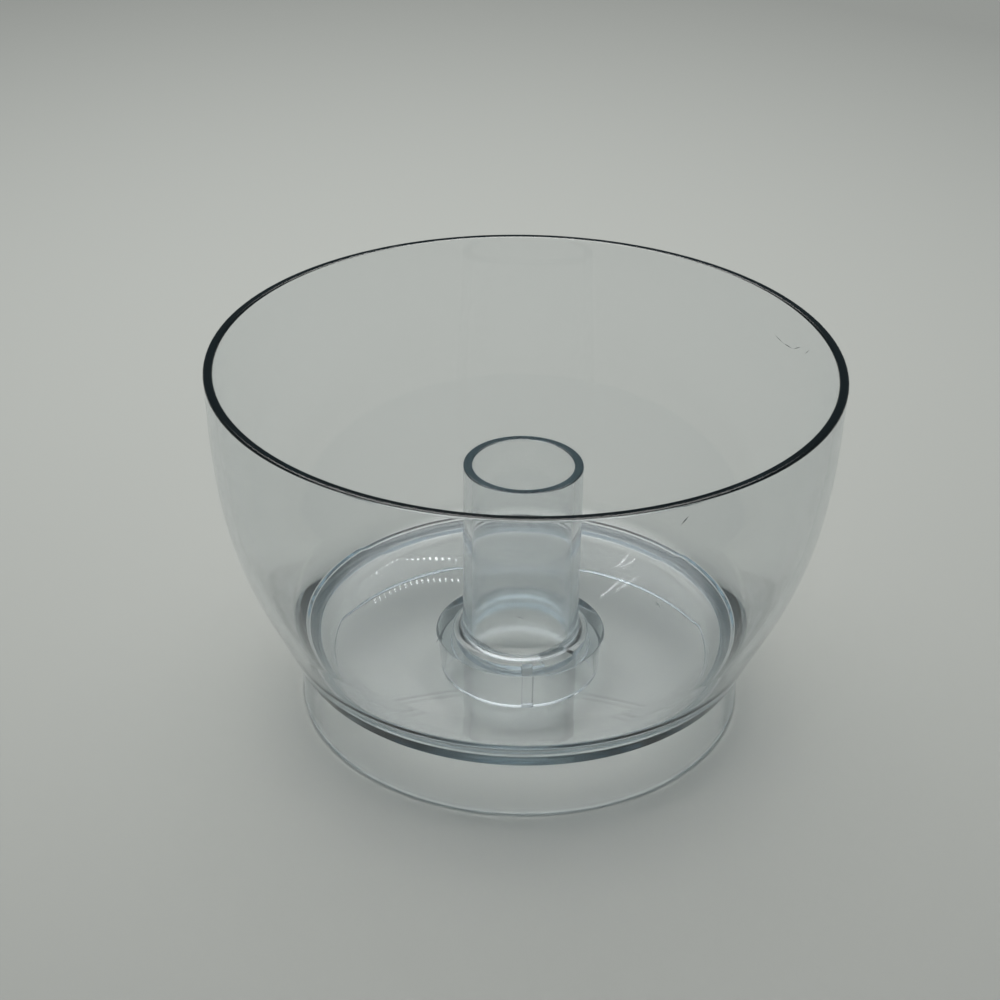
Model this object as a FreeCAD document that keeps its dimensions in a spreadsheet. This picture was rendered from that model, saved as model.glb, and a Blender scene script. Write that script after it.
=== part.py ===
import FreeCAD, Part
import math
import os
import Sketcher
from FreeCAD import Placement, Rotation, Vector

# Clear bowl of a small food processor, moulded in one piece.
# A round cup narrows to a plain foot. A tube for the drive shaft stands in the
# middle of the floor, and a collar below the floor seats on the drive hub.
# The origin is on the axis, at the height of the surface the foot stands on.

PARTS_FOLDER = "parts"
NODE = "bowl"
SHEET = "Dimensions"
TOUCH = 1e-4

# Driving dimensions in millimetres and degrees: alias, value and what it is.
DIMENSIONS = (
    ("RimRadius", 70.0, "outer radius of the cup at its rim"),
    ("BowlHeight", 85.7, "height of the rim"),
    ("WallThickness", 2.1, "wall of the cup"),
    ("RimDraft", 1.8, "lean of the upper wall from upright, degrees"),
    ("UpperWallHeight", 12.0, "height of the straight upper wall, down from the rim"),
    ("UpperCurveHeight", 18.0, "height of the gentler, upper part of the side's curve"),
    ("UpperCurveShare", 0.6, "how far that part turns, as a share of the side's mean lean past the rim's"),
    ("FlankHeight", 17.0, "height of the straight flank, up from the cup's lower edge"),
    ("CupOverhang", 1.5, "how far the cup's lower edge stands out beyond the foot"),
    ("CupEdgeHeight", 14.8, "height of the cup's lower edge"),
    ("FloorHeight", 15.7, "height of the floor's upper face"),
    ("FloorThickness", 2.2, "thickness of the floor"),
    ("FloorCornerRadius", 13.0, "inner round between the floor and the wall"),
    ("FootRadius", 51.5, "outer radius of the foot"),
    ("FootWall", 2.1, "wall of the foot"),
    ("BoreRadius", 11.55, "bore of the tube, for the drive shaft's sleeve"),
    ("TubeWall", 2.05, "wall of the tube"),
    ("TubeHeight", 59.0, "height of the tube's upper end"),
    ("TubeBaseRadius", 2.5, "round between the tube and the floor"),
    ("CollarRadius", 19.65, "outer radius of the collar at the floor"),
    ("CollarWall", 3.8, "wall of the collar at the floor"),
    ("CollarTipHeight", 3.6, "height of the collar's lower end"),
    ("CollarOuterDraft", 4.0, "lean of the collar's outside from upright, degrees"),
    ("CollarInnerDraft", 3.0, "lean of the collar's inside from upright, degrees"),
    ("KeyWidth", 2.0, "width of the key in the collar"),
    ("KeyDepth", 0.9, "how far the key stands into the collar"),
    ("KeyBearing", -84.3, "bearing of the key from +X, degrees"),
    ("LugDepth", 2.0, "how far the stop lug stands below the floor"),
    ("LugSpan", 30.0, "share of the circle that the stop lug takes, degrees"),
    ("LugBearing", -54.0, "bearing of the stop lug's middle from +X, degrees"),
)


def make_sheet(doc):
    """Write each driving dimension to a row of the sheet, and return the values by alias."""
    sheet = doc.addObject("Spreadsheet::Sheet", SHEET)
    for row, (alias, value, note) in enumerate(DIMENSIONS, start=1):
        sheet.set(f"A{row}", note)
        sheet.set(f"B{row}", str(value))
        sheet.setAlias(f"B{row}", alias)
    doc.recompute()
    return {alias: float(sheet.get(alias)) for alias, _, _ in DIMENSIONS}


def bound(expression):
    """An expression with each driving dimension's alias named on the sheet."""
    words = {alias: f"{SHEET}.{alias}" for alias, _, _ in DIMENSIONS}
    return " ".join(words.get(word, word) for word in expression.split())


def origin_plane(body, role):
    return next(feature for feature in body.Origin.OriginFeatures if feature.Role == role)


def new_sketch(body, name, role):
    """A sketch on one of the body's own origin planes."""
    sketch = body.newObject("Sketcher::SketchObject", name)
    sketch.AttachmentSupport = [(origin_plane(body, role), "")]
    sketch.MapMode = "FlatFace"
    return sketch


def turned_section(body, name, bearing):
    """A sketch in the upright plane that looks out from the axis along a bearing."""
    sketch = new_sketch(body, name, "XZ_Plane")
    sketch.AttachmentOffset = Placement(Vector(), Rotation(Vector(0, 1, 0), 0))
    sketch.setExpression("AttachmentOffset.Rotation.Angle", bound(bearing))
    return sketch


def drawn(sketch, kind, place):
    """What a dimension measures on the outline as it was drawn."""
    if kind == "Radius":
        return sketch.Geometry[place[0]].Radius
    if kind == "Angle":
        side = sketch.Geometry[place[0]]
        run = side.EndPoint - side.StartPoint
        return math.atan2(run.y, run.x)
    point = sketch.getPoint(place[2], place[3])
    return point.x if kind == "DistanceX" else point.y


def size(sketch, kind, *place, by):
    """A dimension of the sketch that follows an expression of driving dimensions."""
    unit = "1 deg" if kind == "Angle" else "1 mm"
    constraint = Sketcher.Constraint(kind, *place, drawn(sketch, kind, place))
    index = sketch.addConstraint(constraint)
    sketch.setExpression(f"Constraints[{index}]", bound(f"( {by} ) * {unit}"))


def settle(sketch):
    """Solve the sketch, and stop if anything in it is left free."""
    sketch.Document.recompute()
    if sketch.solve() != 0 or not sketch.FullyConstrained:
        raise RuntimeError(f"sketch {sketch.Name} is not fully constrained")


def closed_polygon(sketch, corners):
    """Straight sides through the corners, joined end to end. Returns the first side's index."""
    first = sketch.GeometryCount
    count = len(corners)
    for corner, following in zip(corners, corners[1:] + corners[:1]):
        sketch.addGeometry(Part.LineSegment(Vector(*corner), Vector(*following)), False)
    for side in range(count):
        following = (side + 1) % count
        sketch.addConstraint(Sketcher.Constraint("Coincident", first + side, 2, first + following, 1))
    return first


def at_radius(sketch, side, end, by):
    size(sketch, "DistanceX", -1, 1, side, end, by=by)


def at_height(sketch, side, end, by):
    size(sketch, "DistanceY", -1, 1, side, end, by=by)


def revolve(body, sketch, name, span=None):
    """Turn a section about the axis: all the way round, or by the angle given."""
    feature = body.newObject("PartDesign::Revolution", name)
    feature.Profile = sketch
    feature.ReferenceAxis = (sketch, ["V_Axis"])
    feature.Angle = 360.0
    if span:
        feature.Midplane = True
        feature.setExpression("Angle", bound(span))
    sketch.Document.recompute()
    return feature


def cup_section(body, value):
    """Section of the cup, its floor and the foot.

    The side has a straight upper wall, a gentle curve, a tighter curve and a straight flank.
    The tighter curve is first drawn as long above the point where its end lines meet as below
    it, and the solver then moves its lower end to the height asked for.
    """
    sketch = new_sketch(body, "CupSection", "XZ_Plane")
    wall = value["WallThickness"]
    lean = math.radians(value["RimDraft"])
    rim = Vector(value["RimRadius"], value["BowlHeight"])
    edge = Vector(value["FootRadius"] + value["CupOverhang"], value["CupEdgeHeight"])
    mean_lean = math.atan2(rim.x - edge.x, rim.y - edge.y)
    mid_lean = lean + value["UpperCurveShare"] * (mean_lean - lean)
    gentle = value["UpperCurveHeight"] / (math.sin(mid_lean) - math.sin(lean))
    up = Vector(math.sin(lean), math.cos(lean))
    inward_up = Vector(-up.y, up.x)
    curve_high = rim - up * (value["UpperWallHeight"] / up.y)
    gentle_centre = curve_high + inward_up * gentle
    mid = Vector(math.sin(mid_lean), math.cos(mid_lean))
    inward_mid = Vector(-mid.y, mid.x)
    curve_mid = gentle_centre - inward_mid * gentle
    reach = (curve_mid.y - edge.y - value["FlankHeight"]) / 2 / mid.y
    meet = curve_mid - mid * reach
    flank = (meet - edge).normalize()
    inward_low = Vector(-flank.y, flank.x)
    curve_low = meet - flank * reach
    tight = reach / math.tan(mid.getAngle(flank) / 2)
    tight_centre = curve_low + inward_low * tight
    inner_low = curve_low + inward_low * wall
    inner_mid = curve_mid + inward_mid * wall
    inner_high = curve_high + inward_up * wall
    rim_inner = inner_high + up * ((rim.y - inner_high.y) / up.y)
    corner = value["FloorCornerRadius"]
    round_centre_height = value["FloorHeight"] + corner
    on_flank = inner_low + inward_low * corner
    round_centre = on_flank + flank * ((round_centre_height - on_flank.y) / flank.y)
    round_end = round_centre - inward_low * corner
    round_start = Vector(round_centre.x, value["FloorHeight"])
    underside = value["FloorHeight"] - value["FloorThickness"]
    foot_inner = value["FootRadius"] - value["FootWall"]

    def line(start, end):
        return sketch.addGeometry(Part.LineSegment(start, end), False)

    def arc(middle, radius, start, end):
        circle = Part.Circle(middle, Vector(0, 0, 1), radius)
        first = math.atan2(start.y - middle.y, start.x - middle.x)
        last = math.atan2(end.y - middle.y, end.x - middle.x)
        return sketch.addGeometry(Part.ArcOfCircle(circle, first, last), False)

    def join(kind, one, one_end, other, other_end):
        sketch.addConstraint(Sketcher.Constraint(kind, one, one_end, other, other_end))

    axis_side = line(Vector(0, value["FloorHeight"]), Vector(0, underside))
    under = line(Vector(0, underside), Vector(foot_inner, underside))
    foot_in = line(Vector(foot_inner, underside), Vector(foot_inner, 0))
    foot_end = line(Vector(foot_inner, 0), Vector(value["FootRadius"], 0))
    foot_out = line(Vector(value["FootRadius"], 0), Vector(value["FootRadius"], edge.y))
    overhang = line(Vector(value["FootRadius"], edge.y), edge)
    outer_flank = line(edge, curve_low)
    outer_tight = arc(tight_centre, tight, curve_low, curve_mid)
    outer_gentle = arc(gentle_centre, gentle, curve_mid, curve_high)
    outer_wall = line(curve_high, rim)
    rim_top = line(rim, rim_inner)
    inner_wall = line(rim_inner, inner_high)
    inner_gentle = arc(gentle_centre, gentle - wall, inner_mid, inner_high)
    inner_tight = arc(tight_centre, tight - wall, inner_low, inner_mid)
    inner_flank = line(inner_low, round_end)
    floor_round = arc(round_centre, corner, round_start, round_end)
    floor_top = line(round_start, Vector(0, value["FloorHeight"]))

    for one, other in (
        (axis_side, under),
        (under, foot_in),
        (foot_in, foot_end),
        (foot_end, foot_out),
        (foot_out, overhang),
        (overhang, outer_flank),
        (outer_wall, rim_top),
        (rim_top, inner_wall),
        (floor_top, axis_side),
    ):
        join("Coincident", one, 2, other, 1)
    join("Tangent", outer_flank, 2, outer_tight, 1)
    join("Tangent", outer_tight, 2, outer_gentle, 1)
    join("Tangent", outer_gentle, 2, outer_wall, 1)
    join("Tangent", inner_wall, 2, inner_gentle, 2)
    join("Tangent", inner_gentle, 1, inner_tight, 2)
    join("Tangent", inner_tight, 1, inner_flank, 1)
    join("Tangent", inner_flank, 2, floor_round, 2)
    join("Tangent", floor_round, 1, floor_top, 1)
    join("Coincident", outer_gentle, 3, inner_gentle, 3)
    join("Coincident", outer_tight, 3, inner_tight, 3)
    for side in (under, foot_end, overhang, rim_top, floor_top):
        sketch.addConstraint(Sketcher.Constraint("Horizontal", side))
    for side in (foot_in, foot_out):
        sketch.addConstraint(Sketcher.Constraint("Vertical", side))
    sketch.addConstraint(Sketcher.Constraint("Parallel", outer_wall, inner_wall))
    sketch.addConstraint(Sketcher.Constraint("Parallel", outer_flank, inner_flank))
    sketch.addConstraint(Sketcher.Constraint("PointOnObject", axis_side, 1, -2))
    sketch.addConstraint(Sketcher.Constraint("PointOnObject", axis_side, 2, -2))
    sketch.addConstraint(Sketcher.Constraint("PointOnObject", foot_end, 1, -1))
    at_height(sketch, axis_side, 1, "FloorHeight")
    at_height(sketch, axis_side, 2, "FloorHeight - FloorThickness")
    at_radius(sketch, foot_end, 2, "FootRadius")
    at_radius(sketch, foot_end, 1, "FootRadius - FootWall")
    at_radius(sketch, overhang, 2, "FootRadius + CupOverhang")
    at_height(sketch, overhang, 2, "CupEdgeHeight")
    at_radius(sketch, rim_top, 1, "RimRadius")
    at_height(sketch, rim_top, 1, "BowlHeight")
    at_radius(sketch, rim_top, 2, "RimRadius - WallThickness / cos( RimDraft * 1 deg )")
    at_height(sketch, outer_wall, 1, "BowlHeight - UpperWallHeight")
    at_height(sketch, outer_gentle, 1, "BowlHeight - UpperWallHeight - UpperCurveHeight")
    at_height(sketch, outer_flank, 2, "CupEdgeHeight + FlankHeight")
    size(sketch, "Angle", outer_wall, by="90 - RimDraft")
    mean = "atan( ( RimRadius - FootRadius - CupOverhang ) / ( BowlHeight - CupEdgeHeight ) )"
    middle = f"RimDraft * 1 deg + UpperCurveShare * ( {mean} - RimDraft * 1 deg )"
    turned = f"( sin( {middle} ) - sin( RimDraft * 1 deg ) )"
    size(sketch, "Radius", outer_gentle, by=f"UpperCurveHeight / {turned}")
    size(sketch, "Radius", floor_round, by="FloorCornerRadius")
    settle(sketch)
    return sketch


def make_tube(body, value):
    """The tube, as a round bar that stands on the underside of the floor."""
    sketch = new_sketch(body, "TubeOutline", "XY_Plane")
    sketch.setExpression("AttachmentOffset.Base.z", bound("FloorHeight - FloorThickness"))
    radius = value["BoreRadius"] + value["TubeWall"]
    circle = Part.Circle(Vector(), Vector(0, 0, 1), radius)
    ring = sketch.addGeometry(circle, False)
    sketch.addConstraint(Sketcher.Constraint("Coincident", ring, 3, -1, 1))
    size(sketch, "Radius", ring, by="BoreRadius + TubeWall")
    settle(sketch)
    pad = body.newObject("PartDesign::Pad", "Tube")
    pad.Profile = sketch
    pad.setExpression("Length", bound("TubeHeight - FloorHeight + FloorThickness"))
    sketch.Document.recompute()


def make_collar(body, value):
    """The collar below the floor. Its two sides lean, so that it leaves the mould."""
    sketch = new_sketch(body, "CollarSection", "XZ_Plane")
    top = value["FloorHeight"] - value["FloorThickness"]
    tip = value["CollarTipHeight"]
    drop = top - tip
    outer = value["CollarRadius"]
    inner = outer - value["CollarWall"]
    outer_tip = outer - drop * math.tan(math.radians(value["CollarOuterDraft"]))
    inner_tip = inner + drop * math.tan(math.radians(value["CollarInnerDraft"]))
    corners = [(inner_tip, tip), (outer_tip, tip), (outer, top), (inner, top)]
    end, outside, root, inside = range(4)
    closed_polygon(sketch, corners)
    for side in (end, root):
        sketch.addConstraint(Sketcher.Constraint("Horizontal", side))
    at_height(sketch, end, 1, "CollarTipHeight")
    at_height(sketch, root, 1, "FloorHeight - FloorThickness")
    at_radius(sketch, root, 1, "CollarRadius")
    at_radius(sketch, root, 2, "CollarRadius - CollarWall")
    size(sketch, "Angle", outside, by="90 - CollarOuterDraft")
    size(sketch, "Angle", inside, by="CollarInnerDraft - 90")
    settle(sketch)
    revolve(body, sketch, "Collar")


def make_lug(body, value):
    """The stop lug under the floor, a share of a ring between the bore and the collar."""
    sketch = turned_section(body, "LugSection", "LugBearing")
    top = value["FloorHeight"] - value["FloorThickness"]
    low = top - value["LugDepth"]
    near = value["BoreRadius"]
    far = value["CollarRadius"] - value["CollarWall"] / 2
    bottom, outside, root, inside = range(4)
    closed_polygon(sketch, [(near, low), (far, low), (far, top), (near, top)])
    for side in (bottom, root):
        sketch.addConstraint(Sketcher.Constraint("Horizontal", side))
    for side in (outside, inside):
        sketch.addConstraint(Sketcher.Constraint("Vertical", side))
    at_height(sketch, bottom, 1, "FloorHeight - FloorThickness - LugDepth")
    at_height(sketch, root, 1, "FloorHeight - FloorThickness")
    at_radius(sketch, bottom, 1, "BoreRadius")
    at_radius(sketch, bottom, 2, "CollarRadius - CollarWall / 2")
    settle(sketch)
    revolve(body, sketch, "StopLug", span="LugSpan")


def make_key(body, value):
    """The key, a thin upright bar on the collar's inside from the floor to the collar's end."""
    sketch = turned_section(body, "KeySection", "KeyBearing")
    top = value["FloorHeight"] - value["FloorThickness"]
    tip = value["CollarTipHeight"]
    near = value["CollarRadius"] - value["CollarWall"] - value["KeyDepth"]
    far = value["CollarRadius"] - value["CollarWall"] / 2
    bottom, outside, root, inside = range(4)
    closed_polygon(sketch, [(near, tip), (far, tip), (far, top), (near, top)])
    for side in (bottom, root):
        sketch.addConstraint(Sketcher.Constraint("Horizontal", side))
    for side in (outside, inside):
        sketch.addConstraint(Sketcher.Constraint("Vertical", side))
    at_height(sketch, bottom, 1, "CollarTipHeight")
    at_height(sketch, root, 1, "FloorHeight - FloorThickness")
    at_radius(sketch, bottom, 1, "CollarRadius - CollarWall - KeyDepth")
    at_radius(sketch, bottom, 2, "CollarRadius - CollarWall / 2")
    settle(sketch)
    pad = body.newObject("PartDesign::Pad", "Key")
    pad.Profile = sketch
    pad.Midplane = True
    pad.setExpression("Length", bound("KeyWidth"))
    sketch.Document.recompute()


def make_bore(body, value):
    """The bore up through the floor and the tube, for the drive shaft."""
    before = body.Shape.Volume
    sketch = new_sketch(body, "BoreOutline", "XY_Plane")
    circle = Part.Circle(Vector(), Vector(0, 0, 1), value["BoreRadius"])
    ring = sketch.addGeometry(circle, False)
    sketch.addConstraint(Sketcher.Constraint("Coincident", ring, 3, -1, 1))
    size(sketch, "Radius", ring, by="BoreRadius")
    settle(sketch)
    pocket = body.newObject("PartDesign::Pocket", "Bore")
    pocket.Profile = sketch
    pocket.Type = "ThroughAll"
    pocket.Reversed = True
    sketch.Document.recompute()
    if body.Shape.Volume >= before:
        raise RuntimeError("the bore cut nothing")


def round_tube_base(body, value):
    """The round where the tube rises from the floor."""
    base = body.Tip
    tube_radius = value["BoreRadius"] + value["TubeWall"]
    found = []
    for index, edge in enumerate(base.Shape.Edges, start=1):
        curve = edge.Curve
        if not isinstance(curve, Part.Circle):
            continue
        on_tube = abs(curve.Radius - tube_radius) < TOUCH
        at_floor = abs(curve.Center.z - value["FloorHeight"]) < TOUCH
        if on_tube and at_floor:
            found.append(f"Edge{index}")
    if not found:
        raise RuntimeError("the tube's base has no edge to round")
    fillet = body.newObject("PartDesign::Fillet", "TubeBase")
    fillet.Base = (base, found)
    fillet.setExpression("Radius", bound("TubeBaseRadius"))
    body.Document.recompute()


def check(doc, body):
    """Stop if a feature failed or the bowl is not one sound solid."""
    for item in doc.Objects:
        if "Invalid" in item.State or "Error" in item.State:
            raise RuntimeError(f"{item.Name} failed: {item.State}")
    shape = body.Shape
    if shape.isNull() or not shape.isValid() or len(shape.Solids) != 1:
        raise RuntimeError(f"{body.Label} is not one valid solid")


def main():
    doc = FreeCAD.newDocument("ProcessorBowl")
    value = make_sheet(doc)
    body = doc.addObject("PartDesign::Body", NODE)
    body.Label = NODE
    doc.recompute()
    revolve(body, cup_section(body, value), "Cup")
    make_tube(body, value)
    make_collar(body, value)
    make_lug(body, value)
    make_key(body, value)
    make_bore(body, value)
    round_tube_base(body, value)
    body.Placement = Placement()
    doc.recompute()
    check(doc, body)
    os.makedirs(PARTS_FOLDER, exist_ok=True)
    body.Shape.exportStep(os.path.join(PARTS_FOLDER, f"{body.Label}.step"))
    print(f"{body.Label}: {body.Shape.Volume:.0f} cubic mm, {len(body.Shape.Faces)} faces")


main()
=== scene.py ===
import math

import bpy
from mathutils import Matrix, Vector


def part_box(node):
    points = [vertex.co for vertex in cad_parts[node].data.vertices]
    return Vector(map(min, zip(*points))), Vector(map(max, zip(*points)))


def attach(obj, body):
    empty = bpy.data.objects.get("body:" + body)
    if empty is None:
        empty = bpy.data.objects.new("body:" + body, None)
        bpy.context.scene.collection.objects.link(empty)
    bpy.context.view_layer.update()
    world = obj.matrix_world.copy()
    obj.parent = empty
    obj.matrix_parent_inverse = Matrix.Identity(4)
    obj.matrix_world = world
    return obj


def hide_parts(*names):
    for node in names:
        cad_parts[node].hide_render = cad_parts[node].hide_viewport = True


# Clear bowl of a small food processor on a pale table, seen from the front and above.
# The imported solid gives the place, and the shown bowl is the same section turned finely
# enough for light to bend through it smoothly.

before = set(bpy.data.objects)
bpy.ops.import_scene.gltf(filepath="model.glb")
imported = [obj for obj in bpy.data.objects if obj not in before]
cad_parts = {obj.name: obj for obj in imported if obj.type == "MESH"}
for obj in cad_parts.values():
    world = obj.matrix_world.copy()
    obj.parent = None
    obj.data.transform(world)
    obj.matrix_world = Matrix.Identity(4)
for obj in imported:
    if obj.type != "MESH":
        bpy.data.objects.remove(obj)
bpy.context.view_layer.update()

MM = 0.001

# Section of the bowl in millimetres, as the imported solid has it. The full height is read from
# the solid. UPPER_WALL, GENTLE_CURVE and FLANK are how tall three stretches of the side are, and
# the other heights are above the table.
RIM_RADIUS = 70.0
BOWL_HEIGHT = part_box("bowl")[1].z / MM
WALL = 2.1
RIM_DRAFT = math.radians(1.8)
UPPER_WALL = 12.0
GENTLE_CURVE = 18.0
GENTLE_SHARE = 0.6
FLANK = 17.0
FOOT_RADIUS = 51.5
FOOT_WALL = 2.1
CUP_OVERHANG = 1.5
CUP_EDGE_HEIGHT = 14.8
FLOOR_HEIGHT = 15.7
FLOOR_THICKNESS = 2.2
FLOOR_CORNER = 13.0
TUBE_RADIUS = 13.6
BORE_RADIUS = 11.55
TUBE_HEIGHT = 59.0
TUBE_BASE = 2.5
COLLAR_RADIUS = 19.65
COLLAR_WALL = 3.8
COLLAR_TIP = 3.6
COLLAR_OUTER_DRAFT = math.radians(4.0)
COLLAR_INNER_DRAFT = math.radians(3.0)
KEY_WIDTH = 2.0
KEY_DEPTH = 0.9
KEY_BEARING = math.radians(-84.3)
LUG_DEPTH = 2.0
LUG_SPAN = math.radians(30.0)
LUG_BEARING = math.radians(-54.0)

# Small rounds that a mould leaves, in millimetres.
RIM_ROUND = 0.6
EDGE_ROUND = 0.4
TUBE_ROUND = 0.35
FOOT_CORNER = 1.0
FOOT_ROUND = 1.0

# How finely the section is turned and its rounds are divided. The section changes within
# SIDE_WIDTH at each side of the key and the lug. Points nearer than SAME_PLACE, in millimetres,
# count as one.
TURN_STEPS = 360
CURVE_PARTS = 18
ROUND_PARTS = 8
CORNER_PARTS = 24
SIDE_WIDTH = math.radians(0.7)
SAME_PLACE = 0.001

# The flank's lean is found by halving the range from the middle line's lean to this one.
MOST_LEAN = math.radians(60.0)
HALVINGS = 40


def add_object(name, data):
    """A new object in the scene."""
    item = bpy.data.objects.new(name, data)
    bpy.context.scene.collection.objects.link(item)
    return item


def leaning(angle):
    """Direction of a line in the section that leans outward from upright by an angle."""
    return Vector((math.sin(angle), math.cos(angle)))


def side_curve():
    """Leans of the side's three lines from the rim down, the corners between them, and their radii."""
    edge = Vector((FOOT_RADIUS + CUP_OVERHANG, CUP_EDGE_HEIGHT))
    up = leaning(RIM_DRAFT)
    top = Vector((RIM_RADIUS, BOWL_HEIGHT)) - up * (UPPER_WALL / up.y)
    mean_lean = math.atan2(RIM_RADIUS - edge.x, BOWL_HEIGHT - edge.y)
    middle_lean = RIM_DRAFT + GENTLE_SHARE * (mean_lean - RIM_DRAFT)
    gentle_radius = GENTLE_CURVE / (math.sin(middle_lean) - up.x)
    gentle_reach = gentle_radius * math.tan((middle_lean - RIM_DRAFT) / 2)
    gentle_corner = top - up * gentle_reach
    middle = gentle_corner - leaning(middle_lean) * gentle_reach
    low_height = edge.y + FLANK
    steep = middle_lean
    shallow = MOST_LEAN
    for _ in range(HALVINGS):
        lean = (steep + shallow) / 2
        low = Vector((edge.x + FLANK * math.tan(lean), low_height))
        chord = middle - low
        if math.atan2(chord.x, chord.y) > (lean + middle_lean) / 2:
            steep = lean
        else:
            shallow = lean
    bend = (lean - middle_lean) / 2
    tight_radius = chord.length / 2 / math.sin(bend)
    tight_corner = middle - leaning(middle_lean) * (tight_radius * math.tan(bend))
    leans = (RIM_DRAFT, middle_lean, lean)
    return leans, (gentle_corner, tight_corner), (gentle_radius, tight_radius)


def inset(corner, above, below):
    """A corner of the side moved inward by the wall, between lines of two leans."""
    inward = leaning((above + below) / 2 - math.pi / 2)
    return corner + inward * (WALL / math.cos((below - above) / 2))


def outline(key=False, lug=False):
    """Corners of the section, counter-clockwise from the bore's top: place, round and its parts."""
    (draft, middle_lean, lean), (gentle, tight), (gentle_radius, tight_radius) = side_curve()
    underside = FLOOR_HEIGHT - FLOOR_THICKNESS
    drop = underside - COLLAR_TIP
    edge = FOOT_RADIUS + CUP_OVERHANG
    foot_inner = FOOT_RADIUS - FOOT_WALL
    flank = leaning(lean)
    inner_gentle = inset(gentle, draft, middle_lean)
    inner_tight = inset(tight, middle_lean, lean)
    inner_edge = inner_tight - flank * ((inner_tight.y - FLOOR_HEIGHT) / flank.y)
    rim_inner = RIM_RADIUS - WALL / math.cos(draft)
    collar_inner = COLLAR_RADIUS - COLLAR_WALL
    tip_outer = COLLAR_RADIUS - drop * math.tan(COLLAR_OUTER_DRAFT)
    tip_inner = collar_inner + drop * math.tan(COLLAR_INNER_DRAFT)
    lug_foot = underside - LUG_DEPTH if lug else underside
    if key:
        collar_inner -= KEY_DEPTH
        tip_inner = collar_inner
    return [
        (BORE_RADIUS, TUBE_HEIGHT, TUBE_ROUND, ROUND_PARTS),
        (BORE_RADIUS, lug_foot, EDGE_ROUND, ROUND_PARTS),
        (collar_inner, lug_foot, EDGE_ROUND, ROUND_PARTS),
        (tip_inner, COLLAR_TIP, EDGE_ROUND, ROUND_PARTS),
        (tip_outer, COLLAR_TIP, EDGE_ROUND, ROUND_PARTS),
        (COLLAR_RADIUS, underside, EDGE_ROUND, ROUND_PARTS),
        (foot_inner, underside, FOOT_CORNER, ROUND_PARTS),
        (foot_inner, 0.0, EDGE_ROUND, ROUND_PARTS),
        (FOOT_RADIUS, 0.0, FOOT_ROUND, ROUND_PARTS),
        (FOOT_RADIUS, CUP_EDGE_HEIGHT, EDGE_ROUND, ROUND_PARTS),
        (edge, CUP_EDGE_HEIGHT, EDGE_ROUND, ROUND_PARTS),
        (tight.x, tight.y, tight_radius, CURVE_PARTS),
        (gentle.x, gentle.y, gentle_radius, CURVE_PARTS),
        (RIM_RADIUS, BOWL_HEIGHT, RIM_ROUND, ROUND_PARTS),
        (rim_inner, BOWL_HEIGHT, RIM_ROUND, ROUND_PARTS),
        (inner_gentle.x, inner_gentle.y, gentle_radius - WALL, CURVE_PARTS),
        (inner_tight.x, inner_tight.y, tight_radius - WALL, CURVE_PARTS),
        (inner_edge.x, inner_edge.y, FLOOR_CORNER, CORNER_PARTS),
        (TUBE_RADIUS, FLOOR_HEIGHT, TUBE_BASE, CORNER_PARTS),
        (TUBE_RADIUS, TUBE_HEIGHT, TUBE_ROUND, ROUND_PARTS),
    ]


def rounded(corners):
    """Points of a closed outline with its corners rounded, each with the surface's exact normal."""
    result = []
    for index, (r, z, radius, parts) in enumerate(corners):
        here = Vector((r, z))
        before = here - Vector(corners[index - 1][:2])
        after = Vector(corners[(index + 1) % len(corners)][:2]) - here
        heading = math.atan2(before.y, before.x)
        turn = math.remainder(math.atan2(after.y, after.x) - heading, math.tau)
        start = here - before.normalized() * (radius * math.tan(abs(turn) / 2))
        side = math.copysign(radius, turn)
        centre = start + Vector((-math.sin(heading), math.cos(heading))) * side
        for part in range(parts + 1):
            angle = heading + turn * part / parts
            normal = Vector((math.sin(angle), -math.cos(angle)))
            place = centre + normal * side
            if result and (place - result[-1][0]).length < SAME_PLACE:
                continue
            result.append((place, normal))
    return result


def turned_angles(features):
    """Angles of the turned section's copies, and which outline each of them has."""
    angles = [(-math.pi + math.tau * step / TURN_STEPS, "plain") for step in range(TURN_STEPS)]
    for name, middle, half in features:
        angles = [
            (angle, name if abs(angle - middle) < half else kind)
            for angle, kind in angles
            if abs(abs(angle - middle) - half) > SIDE_WIDTH * 2
        ]
        for sign in (-1, 1):
            angles.append((middle + sign * half, name))
            angles.append((middle + sign * (half + SIDE_WIDTH), "plain"))
    return sorted(angles)


def build_bowl():
    """The bowl as one closed mesh, with the key and the stop lug as changes of section."""
    outlines = {
        "plain": rounded(outline()),
        "key": rounded(outline(key=True)),
        "lug": rounded(outline(lug=True)),
    }
    key_half = math.asin(KEY_WIDTH / 2 / (COLLAR_RADIUS - COLLAR_WALL - KEY_DEPTH))
    copies = turned_angles([("key", KEY_BEARING, key_half), ("lug", LUG_BEARING, LUG_SPAN / 2)])
    count = len(outlines["plain"])
    vertices = []
    normals = []
    for angle, kind in copies:
        across = math.cos(angle)
        along = math.sin(angle)
        for point, normal in outlines[kind]:
            vertices.append((point.x * across * MM, point.x * along * MM, point.y * MM))
            normals.append(Vector((normal.x * across, normal.x * along, normal.y)))
    faces = []
    flat = []
    for index, (_, kind) in enumerate(copies):
        following = (index + 1) % len(copies)
        other = copies[following][1]
        for point in range(count):
            beyond = (point + 1) % count
            faces.append(
                (
                    index * count + point,
                    following * count + point,
                    following * count + beyond,
                    index * count + beyond,
                )
            )
            moved = any(
                (outlines[kind][at][0] - outlines[other][at][0]).length > SAME_PLACE
                for at in (point, beyond)
            )
            flat.append(moved)
    mesh = bpy.data.meshes.new("bowl_clear")
    mesh.from_pydata(vertices, [], faces)
    mesh.update()
    loop_normals = []
    for face in mesh.polygons:
        face.use_smooth = True
        for corner in face.vertices:
            loop_normals.append(face.normal.copy() if flat[face.index] else normals[corner])
    mesh.normals_split_custom_set(loop_normals)
    return add_object("bowl_clear", mesh)


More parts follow.
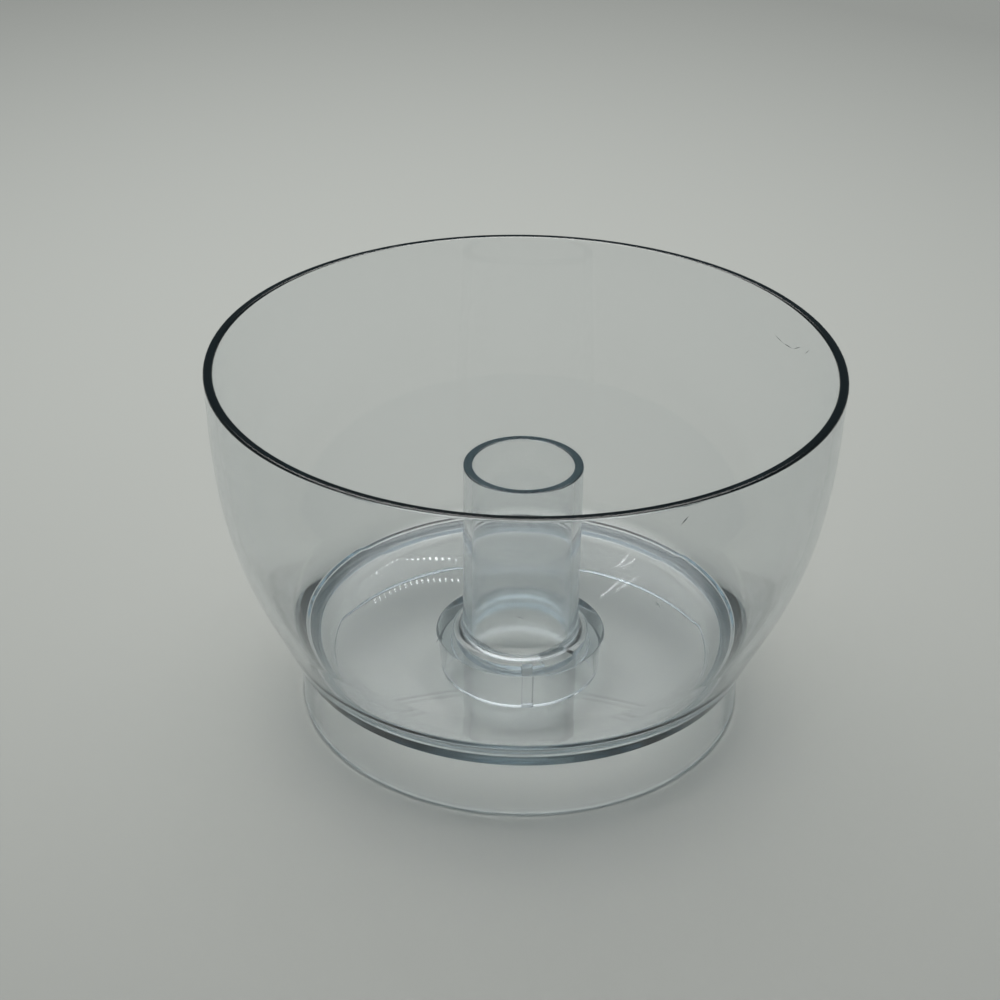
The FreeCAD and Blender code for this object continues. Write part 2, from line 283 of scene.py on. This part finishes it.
# Clear plastic. The tint comes from how far light travels inside it.
PLASTIC_IOR = 1.57
PLASTIC_TINT = (0.68, 0.735, 0.76, 1.0)
PLASTIC_DENSITY = 100.0
SURFACE_COLOUR = (1.0, 1.0, 1.0, 1.0)

# How rough the plastic is. The cup is nearly clear, its floor a little clearer, the foot's ring
# scuffed all over, and the bore dull up to BORE_DULL and clear from BORE_CLEAR. A reach is a radius
# and a limit a height at the edge of a zone, in millimetres, and BLEND is how soft the edge is.
CUP_ROUGHNESS = 0.006
FLOOR_ROUGHNESS = 0.004
FLOOR_REACH = 43.0
FLOOR_LIMIT = 17.0
FOOT_ROUGHNESS = 0.08
FOOT_GRAIN = 0.03
GRAIN_SCALE = 90.0
GRAIN_LOW = 0.3
GRAIN_HIGH = 0.7
FOOT_REACH = 47.0
FOOT_LIMIT = 13.5
BORE_ROUGHNESS = 0.2
BORE_REACH = 12.5
BORE_CLEAR = 50.0
BORE_DULL = 20.0
BLEND = 0.5


class Nodes:
    """Short ways to add nodes. A value that they take is a number, a colour or another node's output."""

    def __init__(self, tree):
        self.tree = tree

    def new(self, kind):
        return self.tree.nodes.new(kind)

    def math(self, operation, *values):
        node = self.new("ShaderNodeMath")
        node.operation = operation
        for socket, value in zip(node.inputs, values):
            self.put(value, socket)
        return node.outputs["Value"]

    def ramp(self, value, low, high, start=0.0, end=1.0):
        """Goes smoothly from start to end while the value goes from low to high."""
        node = self.new("ShaderNodeMapRange")
        node.interpolation_type = "SMOOTHSTEP"
        for name, given in (
            ("Value", value),
            ("From Min", low),
            ("From Max", high),
            ("To Min", start),
            ("To Max", end),
        ):
            self.put(given, node.inputs[name])
        return node.outputs["Result"]

    def mix(self, factor, first, second):
        """A colour that goes from the first to the second with the factor."""
        node = self.new("ShaderNodeMix")
        node.data_type = "RGBA"
        self.put(first, node.inputs["A"])
        self.put(second, node.inputs["B"])
        self.put(factor, node.inputs["Factor"])
        return node.outputs["Result"]

    def grain(self, place, scale):
        node = self.new("ShaderNodeTexNoise")
        self.put(place, node.inputs["Vector"])
        self.put(scale, node.inputs["Scale"])
        return node.outputs["Fac"]

    def put(self, value, socket):
        if isinstance(value, bpy.types.NodeSocket):
            self.tree.links.new(value, socket)
        else:
            socket.default_value = value


def new_material(name):
    """A material, and the nodes that it starts with."""
    material = bpy.data.materials.new(name)
    material.use_nodes = True
    return material, Nodes(material.node_tree)


def scuffing(nodes):
    """Roughness over the bowl: a scuffed ring at the foot, a dulled bore and a clearer cup."""
    place = nodes.new("ShaderNodeTexCoord").outputs["Object"]
    parts = nodes.new("ShaderNodeSeparateXYZ")
    nodes.put(place, parts.inputs[0])
    height = parts.outputs["Z"]
    across = nodes.math("MULTIPLY", parts.outputs["X"], parts.outputs["X"])
    along = nodes.math("MULTIPLY", parts.outputs["Y"], parts.outputs["Y"])
    reach = nodes.math("SQRT", nodes.math("ADD", across, along))

    within_floor = nodes.ramp(reach, FLOOR_REACH * MM, (FLOOR_REACH + BLEND) * MM, 1.0, 0.0)
    near_floor = nodes.ramp(height, FLOOR_LIMIT * MM, (FLOOR_LIMIT + BLEND) * MM, 1.0, 0.0)
    on_floor = nodes.math("MULTIPLY", within_floor, near_floor)
    cup = nodes.ramp(on_floor, 0.0, 1.0, CUP_ROUGHNESS, FLOOR_ROUGHNESS)

    within_bore = nodes.ramp(reach, BORE_REACH * MM, (BORE_REACH + BLEND) * MM, 1.0, 0.0)
    low_in_bore = nodes.ramp(height, BORE_DULL * MM, BORE_CLEAR * MM, 1.0, 0.0)
    in_bore = nodes.math("MULTIPLY", within_bore, low_in_bore)
    bore = nodes.ramp(in_bore, 0.0, 1.0, cup, BORE_ROUGHNESS)

    beyond_floor = nodes.ramp(reach, (FOOT_REACH - BLEND) * MM, FOOT_REACH * MM)
    below_cup = nodes.ramp(height, FOOT_LIMIT * MM, (FOOT_LIMIT + BLEND) * MM, 1.0, 0.0)
    on_foot = nodes.math("MULTIPLY", beyond_floor, below_cup)
    grain = nodes.grain(place, GRAIN_SCALE)
    smoother = FOOT_ROUGHNESS - FOOT_GRAIN
    rougher = FOOT_ROUGHNESS + FOOT_GRAIN
    foot = nodes.ramp(grain, GRAIN_LOW, GRAIN_HIGH, smoother, rougher)
    return nodes.ramp(on_foot, 0.0, 1.0, bore, foot)


def clear_plastic():
    """Glass that bends light as the plastic does, with its tint in the depth."""
    material, nodes = new_material("clear_plastic")
    nodes.tree.nodes.clear()
    output = nodes.new("ShaderNodeOutputMaterial")
    glass = nodes.new("ShaderNodeBsdfGlass")
    nodes.put(PLASTIC_IOR, glass.inputs["IOR"])
    nodes.put(scuffing(nodes), glass.inputs["Roughness"])
    nodes.put(SURFACE_COLOUR, glass.inputs["Color"])
    tint = nodes.new("ShaderNodeVolumeAbsorption")
    nodes.put(PLASTIC_TINT, tint.inputs["Color"])
    nodes.put(PLASTIC_DENSITY, tint.inputs["Density"])
    nodes.put(glass.outputs["BSDF"], output.inputs["Surface"])
    nodes.put(tint.outputs["Volume"], output.inputs["Volume"])
    return material


# Small scratches in the plastic. Each has its two ends on the surface and its width in
# millimetres, and SCRATCH_MIDDLE is how far along it is widest. Those below FLAT_LIMIT lie on
# the floor, and the others on an upright wall.
SCRATCHES = (
    ((29.54, -63.31, 81.19), (31.02, -62.65, 82.83), 0.32),
    ((32.76, 10.91, 15.70), (34.01, 7.88, 15.70), 0.45),
    ((-19.73, -8.52, 15.70), (-18.87, -5.66, 15.70), 0.28),
    ((-18.87, -5.66, 15.70), (-17.90, -7.20, 15.70), 0.28),
    ((-1.43, -13.55, 27.24), (0.85, -13.60, 26.49), 0.24),
    ((58.98, 33.03, 76.27), (60.56, 30.00, 75.66), 0.18),
    ((60.56, 30.00, 75.66), (62.38, 26.03, 76.04), 0.20),
    ((62.38, 26.03, 76.04), (63.66, 22.90, 78.07), 0.18),
    ((64.22, 21.19, 77.12), (65.07, 18.68, 79.36), 0.15),
)
SCRATCH_DEPTH = 0.06
SCRATCH_MIDDLE = 0.5
FLAT_LIMIT = 16.0
SCRATCH_DARK = (0.05, 0.08, 0.075, 1.0)
SCRATCH_PALE = (0.14, 0.19, 0.18, 1.0)
SCRATCH_GRAIN_SCALE = 1500.0
SCRATCH_ROUGHNESS = 0.6
SCRATCH_ALPHA = 0.6


def scratch_material():
    """Dull plastic, darker and paler in turn and partly clear."""
    material, nodes = new_material("scratched_plastic")
    surface = nodes.tree.nodes["Principled BSDF"]
    place = nodes.new("ShaderNodeTexCoord").outputs["Object"]
    grain = nodes.grain(place, SCRATCH_GRAIN_SCALE)
    nodes.put(nodes.mix(grain, SCRATCH_DARK, SCRATCH_PALE), surface.inputs["Base Color"])
    nodes.put(SCRATCH_ROUGHNESS, surface.inputs["Roughness"])
    nodes.put(SCRATCH_ALPHA, surface.inputs["Alpha"])
    return material


def build_scratches():
    """Each scratch is a thin closed sliver, pointed at both ends and half sunk in the surface."""
    vertices = []
    faces = []
    for start, end, width in SCRATCHES:
        start = Vector(start)
        end = Vector(end)
        middle = start.lerp(end, SCRATCH_MIDDLE)
        if middle.z < FLAT_LIMIT:
            outward = Vector((0, 0, 1))
        else:
            outward = Vector((middle.x, middle.y, 0)).normalized()
        across = (end - start).cross(outward).normalized() * (width / 2)
        up = outward * (SCRATCH_DEPTH / 2)
        ring = (middle + across, middle + up, middle - across, middle - up)
        tip = len(vertices)
        other_tip = tip + 1
        ring_start = tip + 2
        vertices += [place * MM for place in (start, end, *ring)]
        for side in range(len(ring)):
            here = ring_start + side
            beyond = ring_start + (side + 1) % len(ring)
            faces += [(tip, here, beyond), (other_tip, beyond, here)]
    mesh = bpy.data.meshes.new("bowl_scratches")
    mesh.from_pydata(vertices, [], faces)
    mesh.validate()
    mesh.materials.append(scratch_material())
    return add_object("bowl_scratches", mesh)


# The table, in metres. Its colour holds a painted pool of light. It is full at PAINTED_LIGHT_SPOT, under
# the lamp, and fades away from there as a lamp's light does, down to FAR_SHARE. PAINTED_LIGHT_REACH sets
# how slowly.
TABLE_HALF = 30.0
TABLE_DROP = 0.00002
TABLE_COLOUR = (0.465, 0.471, 0.445)
TABLE_ROUGHNESS = 0.55
TABLE_GLOSS = 0.2
PAINTED_LIGHT_SPOT = Vector((-0.035, 0.21, 0.0))
PAINTED_LIGHT_REACH = 0.77
FAR_SHARE = 0.6


def table_colour_with_painted_light(nodes):
    """The table's colour with a painted pool of light: times 1 / (1 + (distance / reach) ** 2) ** 2, or
    times FAR_SHARE at least.
    """
    away = nodes.new("ShaderNodeVectorMath")
    away.operation = "DISTANCE"
    nodes.put(nodes.new("ShaderNodeNewGeometry").outputs["Position"], away.inputs[0])
    nodes.put(PAINTED_LIGHT_SPOT, away.inputs[1])
    reach = nodes.math("DIVIDE", away.outputs["Value"], PAINTED_LIGHT_REACH)
    spread = nodes.math("ADD", nodes.math("POWER", reach, 2.0), 1.0)
    share = nodes.math("MAXIMUM", nodes.math("POWER", spread, -2.0), FAR_SHARE)
    colour = nodes.new("ShaderNodeVectorMath")
    colour.operation = "SCALE"
    nodes.put(TABLE_COLOUR, colour.inputs[0])
    nodes.put(share, colour.inputs["Scale"])
    return colour.outputs["Vector"]


def make_table():
    """A wide flat top, a hair below the foot."""
    half = TABLE_HALF
    corners = [(-half, -half), (half, -half), (half, half), (-half, half)]
    mesh = bpy.data.meshes.new("table")
    mesh.from_pydata([(x, y, -TABLE_DROP) for x, y in corners], [], [(0, 1, 2, 3)])
    material, nodes = new_material("table_top")
    surface = nodes.tree.nodes["Principled BSDF"]
    # The base colour carries the painted pool of light, brightest under the lamp and darker farther
    # away.
    nodes.put(table_colour_with_painted_light(nodes), surface.inputs["Base Color"])
    nodes.put(TABLE_ROUGHNESS, surface.inputs["Roughness"])
    nodes.put(TABLE_GLOSS, surface.inputs["Specular IOR Level"])
    mesh.materials.append(material)
    add_object("table", mesh)


# The light: a dim room, and one broad lamp overhead that is full within LAMP_INNER of its middle
# and gone at LAMP_OUTER.
ROOM_COLOUR = (0.72, 1.0, 1.12)
ROOM_STRENGTH = 0.13
LAMP_COLOUR = (1.0, 1.0, 0.985)
LAMP_STRENGTH = 3.16
LAMP_TOWARDS = Vector((-0.06, 0.27, 0.96)).normalized()
LAMP_INNER = math.radians(20.0)
LAMP_OUTER = math.radians(45.0)

# Strings of small lights far behind the bowl, which its floor mirrors. Each has its two ends as
# bearing and height in degrees, how far its middle hangs, and the pitch of its lights. LIGHT_HALF
# is half a light's height in degrees, LIGHT_GAP the share of the pitch that is dark at each side of
# a light, and HANG_POWER the shape of the hanging curve.
LIGHT_STRINGS = (
    ((-6.30, 32.25), (-1.80, 31.82), 0.36, 0.28),
    ((4.25, 32.30), (5.45, 31.30), 0.0, 0.12),
    ((5.00, 31.95), (6.30, 31.00), 0.0, 0.12),
)
LIGHT_HALF = 0.06
LIGHT_STRENGTH = 18.0
LIGHT_GAP = 0.25
HANG_POWER = 1.5


def string_of_lights(nodes, bearing, height, ends, hang, pitch):
    """How bright one string of lights is in a direction, from 0 to 1."""
    (start_bearing, start_height), (end_bearing, end_height) = ends
    across = end_bearing - start_bearing
    rise = end_height - start_height
    length = math.hypot(across, rise)
    over = nodes.math("SUBTRACT", bearing, start_bearing)
    up = nodes.math("SUBTRACT", height, start_height)
    along = nodes.math(
        "ADD",
        nodes.math("MULTIPLY", over, across / length),
        nodes.math("MULTIPLY", up, rise / length),
    )
    aside = nodes.math(
        "SUBTRACT",
        nodes.math("MULTIPLY", up, across / length),
        nodes.math("MULTIPLY", over, rise / length),
    )
    middle = nodes.math("ABSOLUTE", nodes.math("MULTIPLY_ADD", along, 2 / length, -1.0))
    sag = nodes.math("MULTIPLY_ADD", nodes.math("POWER", middle, HANG_POWER), hang, -hang)
    off = nodes.math("ABSOLUTE", nodes.math("SUBTRACT", aside, sag))
    thread = nodes.ramp(off, 0.0, LIGHT_HALF, 1.0, 0.0)
    within = nodes.math("LESS_THAN", middle, 1.0)
    bead = nodes.ramp(nodes.math("PINGPONG", along, pitch / 2), pitch * LIGHT_GAP, pitch / 2)
    return nodes.math("MULTIPLY", nodes.math("MULTIPLY", thread, within), bead)


def glow(colour, strength):
    """A light's colour at its strength, with the fourth value that a colour socket takes."""
    return (*(channel * strength for channel in colour), 1.0)


def make_world():
    """A dim bluish room with one broad soft light overhead, a little behind the bowl."""
    world = bpy.data.worlds.new("room")
    bpy.context.scene.world = world
    world.use_nodes = True
    nodes = Nodes(world.node_tree)
    background = nodes.tree.nodes["Background"]
    direction = nodes.new("ShaderNodeTexCoord").outputs["Generated"]
    facing = nodes.new("ShaderNodeVectorMath")
    facing.operation = "DOT_PRODUCT"
    nodes.put(direction, facing.inputs[0])
    nodes.put(LAMP_TOWARDS, facing.inputs[1])
    lamp = nodes.ramp(facing.outputs["Value"], math.cos(LAMP_OUTER), math.cos(LAMP_INNER))
    room = glow(ROOM_COLOUR, ROOM_STRENGTH)
    room_and_lamp = nodes.mix(lamp, room, glow(LAMP_COLOUR, LAMP_STRENGTH))
    parts = nodes.new("ShaderNodeSeparateXYZ")
    nodes.put(direction, parts.inputs[0])
    bearing = nodes.math("DEGREES", nodes.math("ARCTAN2", parts.outputs["X"], parts.outputs["Y"]))
    height = nodes.math("DEGREES", nodes.math("ARCSINE", parts.outputs["Z"]))
    strings = 0.0
    for *ends, hang, pitch in LIGHT_STRINGS:
        light = string_of_lights(nodes, bearing, height, ends, hang, pitch)
        strings = nodes.math("ADD", light, strings)
    strings = nodes.math("MULTIPLY", strings, LIGHT_STRENGTH)
    total = nodes.new("ShaderNodeVectorMath")
    total.operation = "ADD"
    nodes.put(room_and_lamp, total.inputs[0])
    nodes.put(strings, total.inputs[1])
    nodes.put(total.outputs["Vector"], background.inputs["Color"])


# The camera, as fitted to the rim, the tube and the foot in the photograph. The image's width and
# the focal length are in pixels, the distance and the aim in rim radii.
IMAGE_WIDTH = 1000.0
FOCAL_LENGTH = 1962.7
SENSOR_WIDTH = 36.0
CAMERA_DISTANCE = 6.3811
CAMERA_ELEVATION = math.radians(30.0759)
CAMERA_ROLL = math.radians(0.7768)
AIM_ACROSS = -0.0743
AIM_HEIGHT = 0.7074


def make_camera():
    """Looks at the aim from the front and above, and leans a little to the side."""
    unit = RIM_RADIUS * MM
    back = Vector((0, -math.cos(CAMERA_ELEVATION), math.sin(CAMERA_ELEVATION)))
    place = Vector((AIM_ACROSS, 0, AIM_HEIGHT)) * unit + back * (CAMERA_DISTANCE * unit)
    level = Vector((1, 0, 0))
    upward = level.cross(-back)
    right = level * math.cos(CAMERA_ROLL) + upward * math.sin(CAMERA_ROLL)
    up = upward * math.cos(CAMERA_ROLL) - level * math.sin(CAMERA_ROLL)
    data = bpy.data.cameras.new("camera")
    data.sensor_fit = "HORIZONTAL"
    data.sensor_width = SENSOR_WIDTH
    data.lens = FOCAL_LENGTH / IMAGE_WIDTH * SENSOR_WIDTH
    camera = add_object("camera", data)
    turn = Matrix((right, up, back)).transposed().to_4x4()
    camera.matrix_world = Matrix.Translation(place) @ turn
    bpy.context.scene.camera = camera


# How many clear surfaces, mirrored turns and dull turns a ray of light may take.
CLEAR_TURNS = 32
MIRRORED_TURNS = 16
DULL_TURNS = 4


def set_light_paths():
    """Let light pass through the many clear walls, and let it gather under them."""
    cycles = bpy.context.scene.cycles
    cycles.max_bounces = CLEAR_TURNS
    cycles.transmission_bounces = CLEAR_TURNS
    cycles.transparent_max_bounces = CLEAR_TURNS
    cycles.glossy_bounces = MIRRORED_TURNS
    cycles.diffuse_bounces = DULL_TURNS
    cycles.caustics_refractive = True
    cycles.caustics_reflective = True
    cycles.blur_glossy = 0.0
    cycles.use_denoising = True


bowl = build_bowl()
bowl.data.materials.append(clear_plastic())
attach(bowl, "root")
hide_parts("bowl")
scratches = build_scratches()
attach(scratches, "root")
make_table()
make_world()
make_camera()
set_light_paths()
bpy.context.scene.view_settings.view_transform = "Standard"
